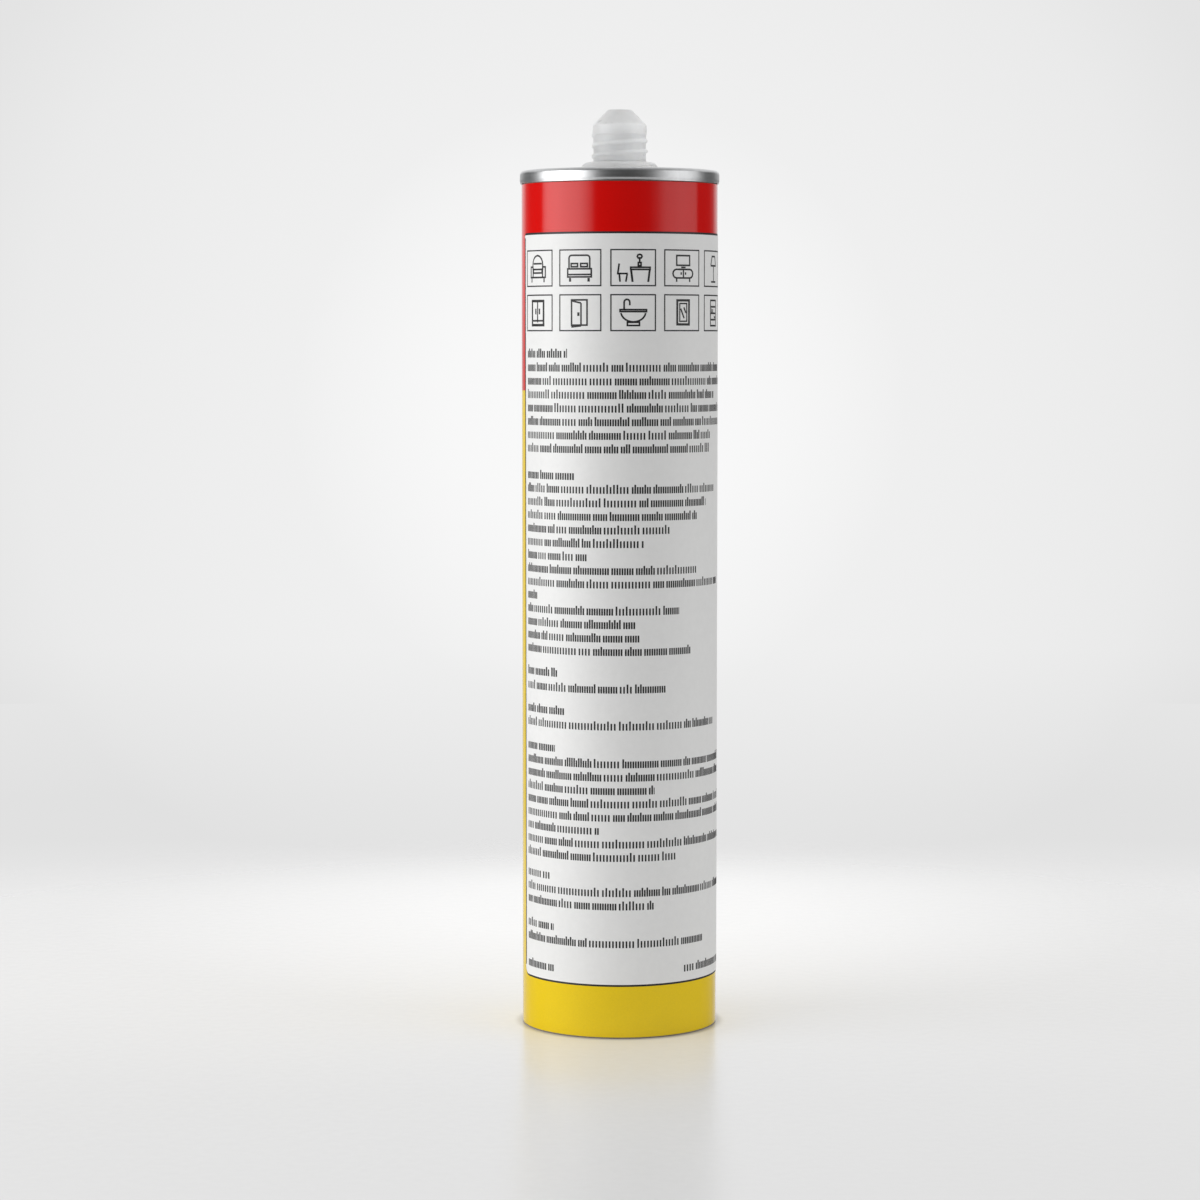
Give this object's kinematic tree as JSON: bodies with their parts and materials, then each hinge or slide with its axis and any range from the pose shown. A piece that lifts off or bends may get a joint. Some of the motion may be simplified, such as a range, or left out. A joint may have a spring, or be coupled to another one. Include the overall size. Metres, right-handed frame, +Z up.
{
  "type": "caulk cartridge",
  "caption": "Round board cartridge for sealant with a seamed metal end, a threaded closed spout and a sliding ribbed plunger in its open base.",
  "frame": {"origin": "centre of the open base, on the surface that the cartridge stands on", "axes": "+Z up along the barrel towards the spout, -Y towards the viewer of the picture, +X to the viewer's right"},
  "size_m": [0.0502, 0.0502, 0.2312],
  "materials": {
    "wound_board": "matt wound board, foil lined",
    "printed_paper": "glossy varnished print, red above and yellow below",
    "label_paper": "satin white label with grey print",
    "tinplate": "bright rolled tinplate",
    "spout_plastic": "semi-gloss, slightly translucent natural polyethylene",
    "sealant": "smooth thick paste",
    "plunger_plastic": "matt natural polyethylene"
  },
  "bodies": {
    "cartridge": {"tube": "wound_board", "printed_wrap": "printed_paper", "info_label": "label_paper", "top_end": "tinplate", "spout": "spout_plastic", "adhesive": "sealant"},
    "plunger": {"plunger": "plunger_plastic"}
  },
  "joints": [
    {"name": "plunger_slide", "type": "slide", "parent": "cartridge", "child": "plunger", "axis": [0, 0, 1], "range_m": [0, 0.17], "deforming": ["adhesive"]}
  ]
}
